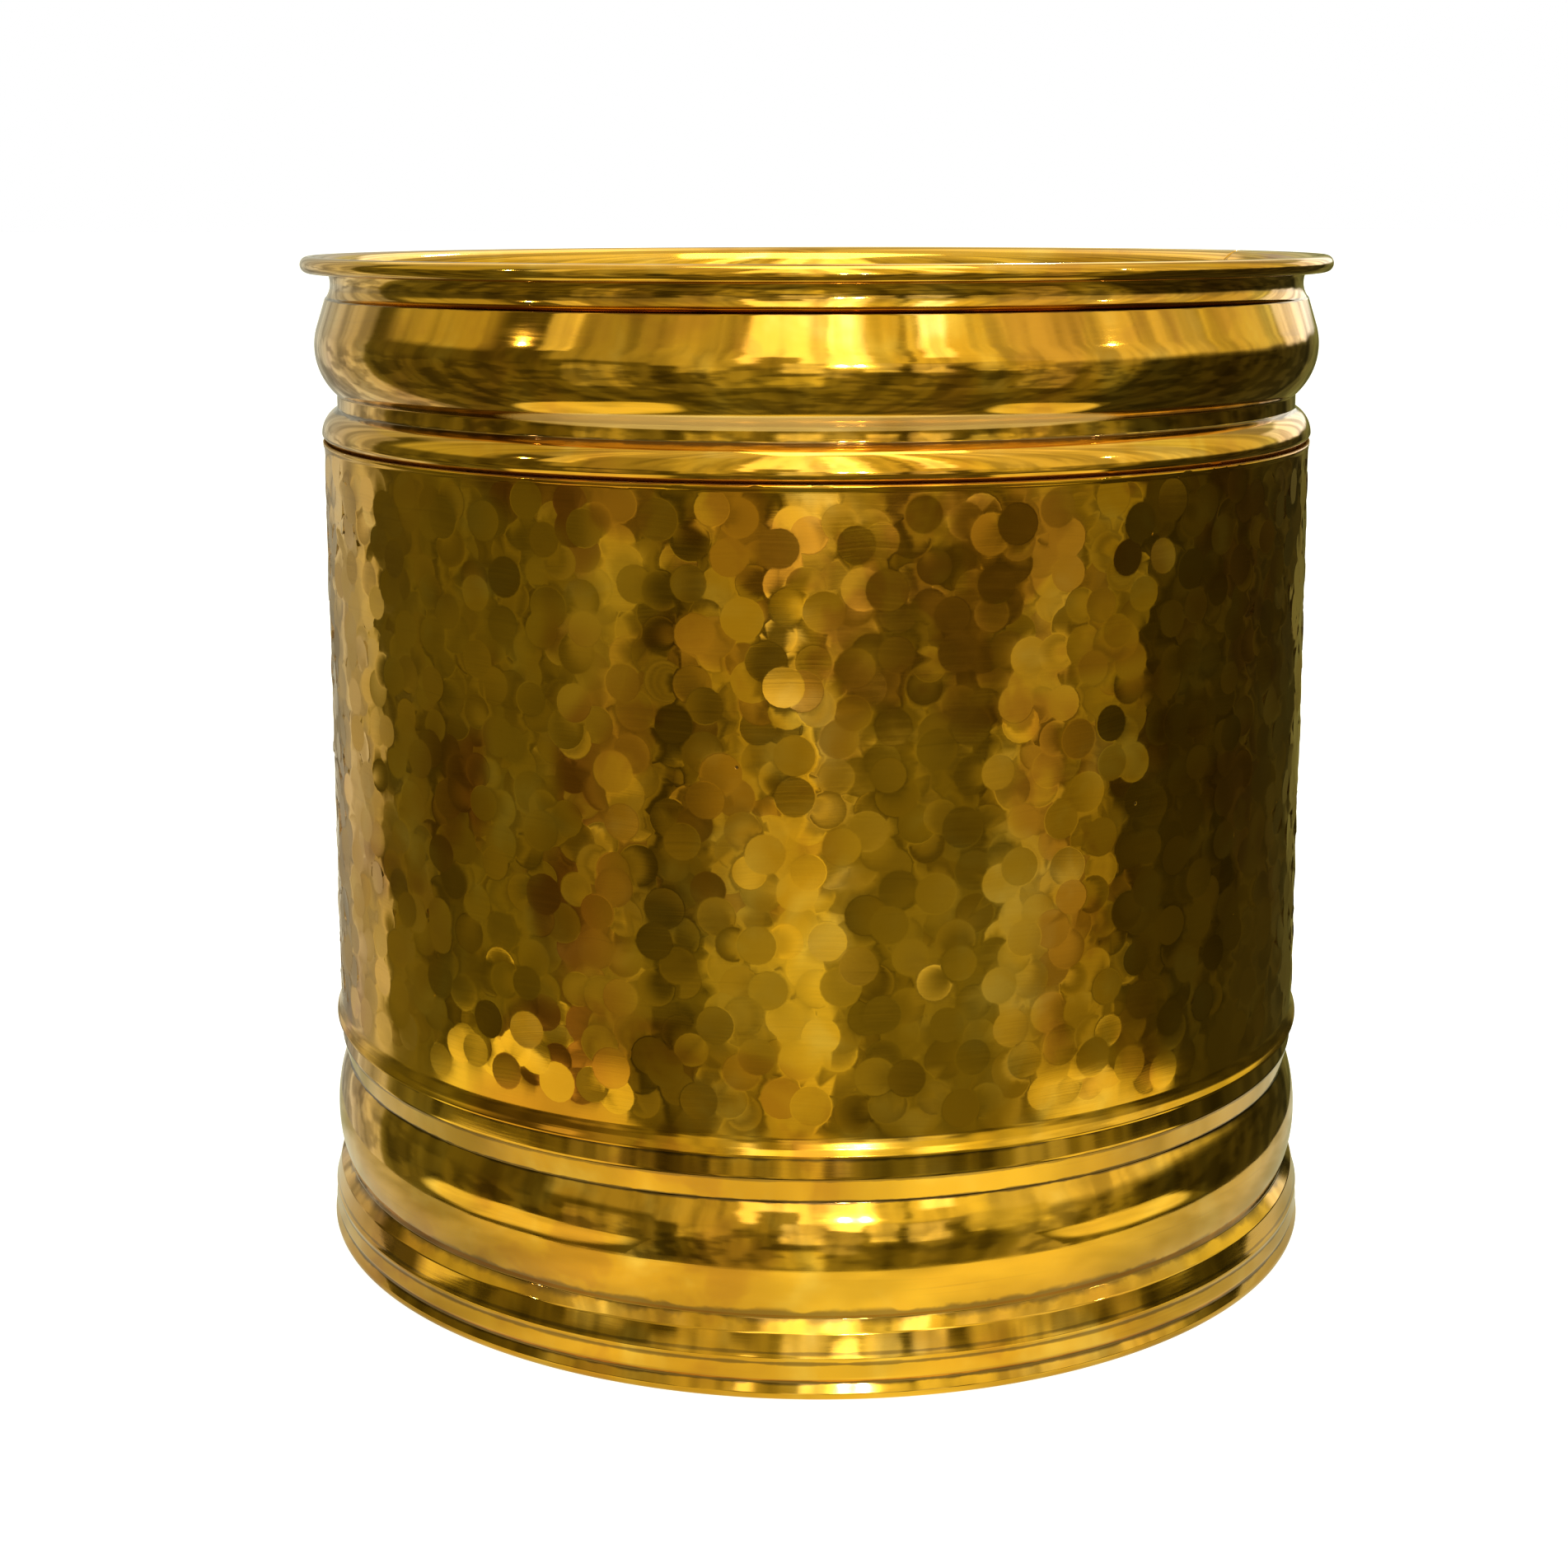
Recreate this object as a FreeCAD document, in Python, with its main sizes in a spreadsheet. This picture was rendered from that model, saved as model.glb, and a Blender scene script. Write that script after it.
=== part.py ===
import FreeCAD, Part

import math
import os

import Sketcher
from FreeCAD import Placement, Rotation, Vector

# A brass planter pot: a hammered sheet drum between a spun collar and a spun base band, soldered together.
# Millimetres, +Z up. The origin is on the pot's axis, on the surface that it stands on.
# Every sheet piece is its visible outline, thickened inwards by the sheet's gauge and turned about Z.

DIMENSIONS = (
    # the sheet, and how the pieces slip together
    ("gauge", 0.8),
    ("slip", 0.05),
    ("spigot_length", 13.5),
    ("solder_leg", 2.2),
    ("solder_reach", 1.9),
    # the collar, from the rim down
    ("pot_height", 292.1),
    ("rim_radius", 152.4),
    ("rim_wire_radius", 1.6),
    ("rim_tuck", 0.55),
    ("neck_radius", 143.9),
    ("neck_height", 284.1),
    ("fillet_radius", 145.1),
    ("fillet_height", 280.3),
    ("bulge_top_radius", 145.5),
    ("bulge_top_height", 279.9),
    ("bulge_radius", 148.9),
    ("bulge_height", 266.2),
    ("bulge_curve", 19.0),
    ("groove_radius", 142.7),
    ("groove_height", 248.3),
    ("bead_top_radius", 143.4),
    ("bead_top_height", 247.7),
    ("bead_radius", 147.4),
    ("bead_height", 240.8),
    ("bead_curve", 8.5),
    ("bead_nose", 1.3),
    # the hammered drum
    ("drum_radius", 146.8),
    ("drum_top", 238.3),
    ("drum_edge_radius", 147.2),
    ("drum_edge_height", 237.4),
    ("drum_edge_foot", 236.6),
    ("flare_height", 70.5),
    ("lip_radius", 148.1),
    ("lip_height", 65.0),
    ("lip_edge", 0.6),
    ("seam_width", 1.6),
    ("seam_azimuth", 23.0),
    # the base band, from the drum down
    ("cove_height", 64.5),
    ("step_radius", 146.7),
    ("step_height", 59.6),
    ("step_foot", 58.8),
    ("crease_radius", 145.0),
    ("crease_height", 52.2),
    ("torus_curve", 41.3),
    ("waist_radius", 145.7),
    ("waist_height", 20.6),
    ("slope_radius", 148.3),
    ("slope_height", 17.6),
    ("band_radius", 149.4),
    ("band_height", 12.6),
    ("bead_line_radius", 149.9),
    ("bead_line_height", 11.2),
    ("score_radius", 149.5),
    ("score_height", 9.9),
    ("skirt_radius", 150.0),
    ("skirt_height", 6.0),
    ("channel_radius", 149.2),
    ("channel_height", 4.6),
    ("foot_radius", 150.4),
    ("foot_wire_radius", 0.9),
    ("foot_tuck", 0.8),
    ("foot_wear", 0.15),
    # the bottom plate, a shallow dish with its flange turned down
    ("plate_radius", 144.6),
    ("plate_height", 22.2),
    ("plate_flange", 9.0),
    ("plate_bend", 2.0),
)

document = FreeCAD.newDocument("BrassPlanterPot")
sheet = document.addObject("Spreadsheet::Sheet", "Dimensions")
for row, (alias, value) in enumerate(DIMENSIONS, start=1):
    sheet.set(f"A{row}", alias)
    sheet.set(f"B{row}", str(value))
    sheet.setAlias(f"B{row}", alias)
document.recompute()

AXIS = Vector(0, 0, 1)
START, END, CENTRE = 1, 2, 3
nodes = []


def number(terms):
    """The sum of the sheet's cells named in terms, each taken away where a minus sign stands before it."""
    return sum(-sheet.get(word[1:]) if word[0] == "-" else sheet.get(word) for word in terms.split())


def formula(terms):
    """The same sum as an expression in millimetres."""
    cells = [f"- Dimensions.{word[1:]}" if word[0] == "-" else f"+ Dimensions.{word}" for word in terms.split()]
    return f"(0 {' '.join(cells)}) * 1 mm"


class Outline:
    """A sketch in the XZ plane, X being the distance from the axis: one run of lines and arcs."""

    def __init__(self, name, r, z):
        self.sketch = document.addObject("Sketcher::SketchObject", name)
        self.sketch.Placement = Placement(Vector(0, 0, 0), Rotation(Vector(1, 0, 0), 90))
        self.point = (r, z)
        self.vertex = None

    def bind(self, kind, terms, *references):
        """One dimension of the sketch, bound to the sheet."""
        index = self.sketch.addConstraint(Sketcher.Constraint(kind, *references, number(terms)))
        self.sketch.setExpression(f"Constraints[{index}]", formula(terms))

    def place(self, vertex, r=None, z=None):
        if r:
            self.bind("DistanceX", r, -1, 1, *vertex)
        if z:
            self.bind("DistanceY", z, -1, 1, *vertex)

    def add(self, shape, near, far, end, tangent):
        edge = self.sketch.addGeometry(shape)
        if self.vertex:
            kind = "Tangent" if tangent else "Coincident"
            self.sketch.addConstraint(Sketcher.Constraint(kind, *self.vertex, edge, near))
        self.vertex = (edge, far)
        self.point = end
        return edge

    def line(self, end, r=None, z=None, tangent=False):
        """A straight stretch to end, which r and z bind where they are given."""
        shape = Part.LineSegment(Vector(*self.point, 0), Vector(*end, 0))
        edge = self.add(shape, START, END, end, tangent)
        self.place(self.vertex, r, z)
        return edge

    def arc(self, centre, end, clockwise=False, tangent=False, r=None, z=None):
        """An arc about centre to end. A sketch's arcs all run anticlockwise, so a clockwise one is reversed."""
        angles = [math.atan2(y - centre[1], x - centre[0]) for x, y in (self.point, end)]
        if clockwise:
            angles.reverse()
        circle = Part.Circle(Vector(*centre, 0), AXIS, math.dist(centre, self.point))
        shape = Part.ArcOfCircle(circle, *angles)
        near, far = (END, START) if clockwise else (START, END)
        edge = self.add(shape, near, far, end, tangent)
        self.place(self.vertex, r, z)
        return edge


def straight(outline, *points):
    """Straight stretches to points whose radius and height are both cells of the sheet."""
    for r, z in points:
        outline.line((number(r), number(z)), r, z)


def turned_sheet(label, outline):
    """The outline thickened inwards by the gauge and turned about the axis."""
    section = document.addObject("Part::Offset2D", f"{outline.sketch.Name}_section")
    section.Source = outline.sketch
    section.Mode = "Skin"
    section.Join = "Intersection"
    section.Fill = True
    section.setExpression("Value", formula("gauge"))
    turned = document.addObject("Part::Revolution", f"{label}_turned")
    turned.Source = section
    turned.Axis = AXIS
    turned.Base = Vector(0, 0, 0)
    turned.Angle = 360
    turned.Solid = True
    return turned


def node(label, shape):
    shape.Label = label
    nodes.append(shape)


def round_about(low, high, radius):
    """The centre of a circle through both points, on their side nearer the pot's axis."""
    half = math.dist(low, high) / 2
    aside = math.sqrt(radius**2 - half**2)
    ur, uz = (high[0] - low[0]) / (2 * half), (high[1] - low[1]) / (2 * half)
    return ((low[0] + high[0]) / 2 - aside * uz, (low[1] + high[1]) / 2 + aside * ur)


def touching(first, first_radius, second_radius, end):
    """The centre of a circle through end, of second_radius, that the smaller circle about first touches from
    inside. The centre is the one nearer the pot's axis."""
    gap = second_radius - first_radius
    span = math.dist(first, end)
    along = (gap**2 - second_radius**2 + span**2) / (2 * span)
    aside = math.sqrt(gap**2 - along**2)
    ux, uz = (end[0] - first[0]) / span, (end[1] - first[1]) / span
    return min((first[0] + along * ux - s * aside * uz, first[1] + along * uz + s * aside * ux) for s in (-1, 1))


def beyond(centre, through, radius):
    """The point at radius from centre, on the ray from centre through the second point."""
    scale = radius / math.dist(centre, through)
    return (centre[0] + scale * (through[0] - centre[0]), centre[1] + scale * (through[1] - centre[1]))


def tangent_from(point, centre, radius, side):
    """Where a line from point touches a circle. side is 1 for the right-hand touch, -1 for the left."""
    dx, dz = centre[0] - point[0], centre[1] - point[1]
    reach = math.hypot(dx, dz)
    heading = math.atan2(dz, dx) - side * math.asin(radius / reach)
    length = math.sqrt(reach**2 - radius**2)
    return (point[0] + length * math.cos(heading), point[1] + length * math.sin(heading))


SPIGOT = "drum_radius -gauge -slip"


def make_collar():
    spigot = number(SPIGOT)
    low, seat = number("drum_top -spigot_length"), number("drum_top")
    outline = Outline("collar_outline", spigot, low)
    first = outline.line((spigot, seat), SPIGOT, "drum_top")
    outline.place((first, START), SPIGOT, "drum_top -spigot_length")

    nose = (number("bead_radius -bead_nose"), number("bead_height"))
    bead_top = (number("bead_top_radius"), number("bead_top_height"))
    shoulder = touching(nose, number("bead_nose"), number("bead_curve"), bead_top)
    outline.line(tangent_from((spigot, seat), nose, number("bead_nose"), 1))
    edge = outline.arc(nose, beyond(shoulder, nose, number("bead_curve")), tangent=True)
    outline.place((edge, CENTRE), "bead_radius -bead_nose", "bead_height")
    outline.bind("Radius", "bead_nose", edge)
    edge = outline.arc(shoulder, bead_top, tangent=True, r="bead_top_radius", z="bead_top_height")
    outline.bind("Radius", "bead_curve", edge)

    bulge = (number("bulge_radius -bulge_curve"), number("bulge_height"))
    bulge_curve = number("bulge_curve")
    bulge_low = bulge[1] - math.sqrt(bulge_curve**2 - (number("groove_radius") - bulge[0]) ** 2)
    bulge_top = (number("bulge_top_radius"), number("bulge_top_height"))
    straight(outline, ("groove_radius", "groove_height"))
    outline.line((number("groove_radius"), bulge_low), "groove_radius")
    edge = outline.arc(bulge, tangent_from(bulge_top, bulge, bulge_curve, -1))
    outline.place((edge, CENTRE), "bulge_radius -bulge_curve", "bulge_height")
    outline.bind("Radius", "bulge_curve", edge)
    outline.line(bulge_top, "bulge_top_radius", "bulge_top_height", tangent=True)
    straight(outline, ("fillet_radius", "fillet_height"))

    # the neck is upright where its hollow below meets the cove that runs out to the rim's wire
    inward, rise = number("fillet_radius -neck_radius"), number("neck_height -fillet_height")
    hollow = (inward**2 + rise**2) / (2 * inward)
    neck = (number("neck_radius"), number("neck_height"))
    edge = outline.arc((neck[0] + hollow, neck[1]), neck, clockwise=True, r="neck_radius", z="neck_height")
    outline.place((edge, CENTRE), z="neck_height")

    wire = (number("rim_radius -gauge -rim_wire_radius"), number("pot_height -gauge -rim_wire_radius"))
    wire_radius = number("rim_wire_radius")
    out, up = wire[0] - neck[0], wire[1] - neck[1]
    cove = (out**2 + up**2 - wire_radius**2) / (2 * (out - wire_radius))
    cove_centre = (neck[0] + cove, neck[1])
    edge = outline.arc(cove_centre, beyond(cove_centre, wire, cove), clockwise=True)
    outline.place((edge, CENTRE), z="neck_height")
    tuck = number("rim_tuck")
    end = (wire[0] - math.sqrt(wire_radius**2 - tuck**2), wire[1] - tuck)
    edge = outline.arc(wire, end, clockwise=True, tangent=True, z="pot_height -gauge -rim_wire_radius -rim_tuck")
    outline.place((edge, CENTRE), "rim_radius -gauge -rim_wire_radius", "pot_height -gauge -rim_wire_radius")
    outline.bind("Radius", "rim_wire_radius", edge)
    node("collar", turned_sheet("collar", outline))


def make_drum():
    lip = number("lip_radius")
    outline = Outline("drum_outline", lip, number("lip_height"))
    edge = outline.line((lip, number("lip_height lip_edge")), "lip_radius", "lip_height lip_edge")
    outline.place((edge, START), "lip_radius", "lip_height")
    out, up = number("lip_radius -drum_radius"), number("flare_height -lip_height -lip_edge")
    flare = (out**2 + up**2) / (2 * out)
    foot = (number("drum_radius"), number("flare_height"))
    edge = outline.arc((foot[0] + flare, foot[1]), foot, clockwise=True, r="drum_radius", z="flare_height")
    outline.place((edge, CENTRE), z="flare_height")
    straight(
        outline,
        ("drum_radius", "drum_edge_foot"),
        ("drum_edge_radius", "drum_edge_height"),
        ("drum_edge_radius", "drum_top"),
    )
    share = "Dimensions.seam_width / Dimensions.drum_radius * 180 deg / pi"
    seam_degrees = math.degrees(number("seam_width") / number("drum_radius"))

    drum = turned_sheet("hammered_drum", outline)
    drum.setExpression("Angle", f"360 deg - {share}")
    turn = number("seam_azimuth") + seam_degrees / 2
    drum.Placement = Placement(Vector(0, 0, 0), Rotation(AXIS, turn))
    node("hammered_drum", drum)

    seam = document.addObject("Part::Revolution", "drum_seam_turned")
    seam.Source = drum.Source
    seam.Axis = AXIS
    seam.Base = Vector(0, 0, 0)
    seam.setExpression("Angle", share)
    seam.Solid = True
    seam.Placement = Placement(Vector(0, 0, 0), Rotation(AXIS, turn - seam_degrees))
    node("drum_seam", seam)


def make_base_band():
    hem_radius = number("foot_wire_radius gauge")
    hem = (number("foot_radius") - hem_radius, hem_radius - number("foot_wear"))
    tuck = number("foot_tuck")
    start = (hem[0] - math.sqrt(hem_radius**2 - tuck**2), hem[1] + tuck)
    channel = (number("channel_radius"), number("channel_height"))
    outline = Outline("base_outline", *start)
    edge = outline.arc(hem, tangent_from(channel, hem, hem_radius, -1))
    outline.place((edge, CENTRE), "foot_radius -foot_wire_radius -gauge", "foot_wire_radius gauge -foot_wear")
    outline.bind("Radius", "foot_wire_radius gauge", edge)
    outline.place((edge, START), z="foot_wire_radius gauge -foot_wear foot_tuck")
    outline.line(channel, "channel_radius", "channel_height", tangent=True)
    straight(
        outline,
        ("skirt_radius", "skirt_height"),
        ("score_radius", "score_height"),
        ("bead_line_radius", "bead_line_height"),
        ("band_radius", "band_height"),
        ("slope_radius", "slope_height"),
        ("waist_radius", "waist_height"),
    )

    # the torus: one round curve from the waist up to the crease
    waist = (number("waist_radius"), number("waist_height"))
    crease = (number("crease_radius"), number("crease_height"))
    centre = round_about(waist, crease, number("torus_curve"))
    edge = outline.arc(centre, crease, r="crease_radius", z="crease_height")
    outline.bind("Radius", "torus_curve", edge)
    straight(
        outline,
        ("step_radius", "step_foot"),
        ("step_radius", "step_height"),
        (SPIGOT, "cove_height"),
        (SPIGOT, "lip_height spigot_length"),
    )

    turned = turned_sheet("base_band", outline)
    worn = document.addObject("Part::Cylinder", "foot_wear_cutter")
    worn.setExpression("Radius", formula("foot_radius gauge"))
    worn.setExpression("Height", formula("gauge"))
    worn.Placement = Placement(Vector(0, 0, -number("gauge")), Rotation())
    band = document.addObject("Part::Cut", "base_band_worn")
    band.Base = turned
    band.Tool = worn
    node("base_band", band)


def make_wire(label, ring_terms, height_terms, radius_terms, gap_terms):
    """A steel wire in a rolled edge, its two ends gap_terms apart on the seam's line."""
    wire = document.addObject("Part::Torus", f"{label}_ring")
    wire.setExpression("Radius1", formula(ring_terms))
    wire.setExpression("Radius2", formula(radius_terms))
    open_degrees = math.degrees(number(gap_terms) / number(ring_terms))
    wire.Angle3 = 360 - open_degrees
    turn = number("seam_azimuth") + open_degrees / 2
    wire.Placement = Placement(Vector(0, 0, number(height_terms)), Rotation(AXIS, turn))
    node(label, wire)


def body_turned(label, points):
    """A PartDesign body turned from a closed outline of straight sides, each corner bound to the sheet."""
    body = document.addObject("PartDesign::Body", f"{label}_body")
    plane = next(feature for feature in body.Origin.OriginFeatures if feature.Role == "XZ_Plane")
    sketch = body.newObject("Sketcher::SketchObject", f"{label}_sketch")
    sketch.AttachmentSupport = [(plane, "")]
    sketch.MapMode = "FlatFace"
    corners = [Vector(number(r), number(z), 0) for r, z in points]
    for index, corner in enumerate(corners):
        sketch.addGeometry(Part.LineSegment(corner, corners[(index + 1) % len(corners)]))
    for index, (r, z) in enumerate(points):
        following = (index + 1) % len(points)
        sketch.addConstraint(Sketcher.Constraint("Coincident", index, END, following, START))
        for kind, terms in (("DistanceX", r), ("DistanceY", z)):
            value = number(terms)
            place = sketch.addConstraint(Sketcher.Constraint(kind, -1, 1, index, START, value))
            sketch.setExpression(f"Constraints[{place}]", formula(terms))
    turned = body.newObject("PartDesign::Revolution", f"{label}_revolution")
    turned.Profile = sketch
    turned.ReferenceAxis = (sketch, ["V_Axis"])
    turned.Angle = 360
    body.Tip = turned
    document.recompute()
    return body


def make_bottom_plate():
    """A disc with its edge turned down inside the base band, its bends rounded inside and out."""
    disc = document.addObject("Part::Cylinder", "plate_disc")
    disc.setExpression("Radius", formula("plate_radius"))
    disc.setExpression("Height", formula("plate_flange"))
    disc.Placement = Placement(Vector(0, 0, number("plate_height -plate_flange")), Rotation())
    hollow = document.addObject("Part::Cylinder", "plate_hollow")
    hollow.setExpression("Radius", formula("plate_radius -gauge"))
    hollow.setExpression("Height", formula("plate_flange -gauge"))
    hollow.Placement = disc.Placement
    document.recompute()
    rounded = []
    for solid, radius in ((disc, number("plate_bend")), (hollow, number("plate_bend -gauge"))):
        top = solid.Shape.BoundBox.ZMax
        index = next(
            place
            for place, edge in enumerate(solid.Shape.Edges, start=1)
            if edge.Closed and abs(edge.BoundBox.ZMin - top) < 1e-6
        )
        fillet = document.addObject("Part::Fillet", f"{solid.Name}_rounded")
        fillet.Base = solid
        fillet.Edges = [(index, radius, radius)]
        rounded.append(fillet)
    plate = document.addObject("Part::Cut", "plate")
    plate.Base, plate.Tool = rounded
    node("bottom_plate", plate)


def make_solder_rings():
    """The fillets of solder: inside the drum at the end of each spigot, and under the waist round the plate."""
    wall = "drum_radius -gauge"
    collar_low = "drum_top -spigot_length"
    collar = ((wall, collar_low), ("drum_radius -gauge -solder_leg", collar_low), (wall, f"{collar_low} -solder_leg"))
    base_top = "lip_height spigot_length"
    base = ((wall, base_top), (wall, f"{base_top} solder_leg"), ("drum_radius -gauge -solder_leg", base_top))
    plate = (
        ("plate_radius", "waist_height -slip"),
        ("plate_radius", "waist_height -solder_leg"),
        ("plate_radius solder_reach", "waist_height -solder_leg"),
    )
    for label, points in (("collar_solder", collar), ("base_solder", base), ("bottom_solder", plate)):
        node(label, body_turned(label, points))


make_collar()
make_drum()
make_base_band()
make_wire(
    "rim_wire",
    "rim_radius -gauge -rim_wire_radius",
    "pot_height -gauge -rim_wire_radius",
    "rim_wire_radius",
    "seam_width",
)
make_wire(
    "foot_wire",
    "foot_radius -gauge -foot_wire_radius",
    "foot_wire_radius gauge -foot_wear",
    "foot_wire_radius",
    "seam_width",
)
make_bottom_plate()
make_solder_rings()
document.recompute()

faults = [f"{item.Name} is {item.State}" for item in document.Objects if {"Invalid", "Error"} & set(item.State)]
for item in nodes:
    if item.Shape.isNull() or not item.Shape.isValid():
        faults.append(f"{item.Label} has no valid shape")
    elif len(item.Shape.Solids) != 1 or item.Shape.Volume <= 0:
        faults.append(f"{item.Label} isn't one solid")
if faults:
    raise SystemExit("\n".join(faults))

os.makedirs("parts", exist_ok=True)
for item in nodes:
    item.Shape.exportStep(f"parts/{item.Label}.step")
    box = item.Shape.BoundBox
    print(f"{item.Label}: {item.Shape.Volume:.0f} mm3, z {box.ZMin:.2f} to {box.ZMax:.2f}, across {box.XLength:.2f}")
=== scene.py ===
import math
import random
from bisect import bisect_right

import bpy
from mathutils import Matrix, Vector, noise
from mathutils.geometry import delaunay_2d_cdt


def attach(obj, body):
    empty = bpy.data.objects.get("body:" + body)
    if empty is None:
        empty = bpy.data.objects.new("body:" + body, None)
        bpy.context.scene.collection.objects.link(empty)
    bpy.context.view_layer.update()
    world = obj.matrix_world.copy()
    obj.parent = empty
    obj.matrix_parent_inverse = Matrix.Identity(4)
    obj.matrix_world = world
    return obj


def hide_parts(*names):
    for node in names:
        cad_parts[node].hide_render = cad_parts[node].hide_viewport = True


# A brass planter pot: a planished drum between a spun collar and a spun base band.
# Outlines are in millimetres, as (distance from the axis, height), and meshes are in metres.

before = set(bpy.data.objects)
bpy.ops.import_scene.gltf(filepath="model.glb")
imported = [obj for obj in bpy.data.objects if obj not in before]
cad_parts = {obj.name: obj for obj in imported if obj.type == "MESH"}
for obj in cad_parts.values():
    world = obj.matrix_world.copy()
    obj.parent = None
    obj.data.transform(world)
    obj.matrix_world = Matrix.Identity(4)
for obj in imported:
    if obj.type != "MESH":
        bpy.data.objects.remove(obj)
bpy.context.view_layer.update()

MM = 0.001
GAUGE = 0.8
SPIGOT = 145.95  # the radius of the collar's and the base band's spigots, inside the drum
RIM = 150.0  # the radius of the rim's wire
ROLL_END = -160  # where the rim's roll ends round its wire, in degrees
SEAM_AZIMUTH = math.radians(23)
SEAM_WIDTH = 1.6
ROUNDING = 0.35  # how near a bend in the sheet its rounding starts
SHARP_TURN = math.radians(14)  # what turns more is a bend, and is rounded
ARC_STEP = math.radians(6)


# ---------------------------------------------------------------- outlines


def arc(centre, radius, start, end, step=ARC_STEP):
    """Points on an arc, from angle start to angle end in degrees, both ends included."""
    a, b = math.radians(start), math.radians(end)
    count = max(2, math.ceil(abs(b - a) / step))
    angles = [a + (b - a) * i / count for i in range(count + 1)]
    return [(centre[0] + radius * math.cos(t), centre[1] + radius * math.sin(t)) for t in angles]


def bearing(centre, point):
    """The direction of point from centre, in degrees."""
    return math.degrees(math.atan2(point[1] - centre[1], point[0] - centre[0]))


def circles_meet(first, first_radius, second, second_radius):
    """The points where two circles meet, if they do."""
    dx, dz = second[0] - first[0], second[1] - first[1]
    span = math.hypot(dx, dz)
    if span < 1e-6 or span >= first_radius + second_radius or span <= abs(first_radius - second_radius):
        return []
    along = (span**2 + first_radius**2 - second_radius**2) / (2 * span)
    aside = math.sqrt(max(first_radius**2 - along**2, 0.0))
    return [
        (first[0] + (along * dx - s * aside * dz) / span, first[1] + (along * dz + s * aside * dx) / span)
        for s in (-1, 1)
    ]


def touching(first, first_radius, second_radius, end):
    """The centre of a larger circle through end that the circle about first touches from inside."""
    return min(circles_meet(first, second_radius - first_radius, end, second_radius))


def round_about(low, high, radius):
    """The centre of a circle through both points, on their side nearer the axis."""
    return min(circles_meet(low, radius, high, radius))


def tangent_point(point, centre, radius, side):
    """Where a line from point touches a circle. side is 1 for the right-hand touch, -1 for the left."""
    dx, dz = centre[0] - point[0], centre[1] - point[1]
    reach = math.hypot(dx, dz)
    heading = math.atan2(dz, dx) - side * math.asin(radius / reach)
    length = math.sqrt(reach**2 - radius**2)
    return (point[0] + length * math.cos(heading), point[1] + length * math.sin(heading))


def thicken(line, gauge=GAUGE):
    """The line moved to its left by gauge, corners mitred."""
    moved = []
    for i, point in enumerate(line):
        before = line[max(i - 1, 0)]
        after = line[min(i + 1, len(line) - 1)]
        normals = []
        for a, b in ((before, point), (point, after)):
            length = math.dist(a, b)
            if length > 1e-9:
                normals.append(((a[1] - b[1]) / length, (b[0] - a[0]) / length))
        nx, nz = (sum(n[k] for n in normals) / len(normals) for k in (0, 1))
        square = nx * nx + nz * nz
        moved.append((point[0] + gauge * nx / square, point[1] + gauge * nz / square))
    return moved


def soften(line, reach=ROUNDING, steps=4):
    """The line with every sharp corner rounded, within reach of the corner."""
    soft = [line[0]]
    for before, point, after in zip(line, line[1:], line[2:]):
        u, v = Vector(point) - Vector(before), Vector(after) - Vector(point)
        if u.length < 1e-9 or v.length < 1e-9:
            continue
        if u.angle(v) < SHARP_TURN:
            soft.append(point)
            continue
        start = Vector(point) - u.normalized() * min(reach, 0.45 * u.length)
        end = Vector(point) + v.normalized() * min(reach, 0.45 * v.length)
        for i in range(steps + 1):
            t = i / steps
            soft.append(tuple((1 - t) ** 2 * start + 2 * t * (1 - t) * Vector(point) + t * t * end))
    return soft + [line[-1]]


def divide(line, longest):
    """The line with its long stretches divided."""
    fine = [line[0]]
    for a, b in zip(line, line[1:]):
        parts = max(1, math.ceil(math.dist(a, b) / longest))
        for i in range(1, parts + 1):
            fine.append((a[0] + (b[0] - a[0]) * i / parts, a[1] + (b[1] - a[1]) * i / parts))
    return fine


def closed_section(line):
    """The sheet's whole section: the line, and the same line at the sheet's other face."""
    return soften(line) + soften(thicken(line))[::-1]


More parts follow.
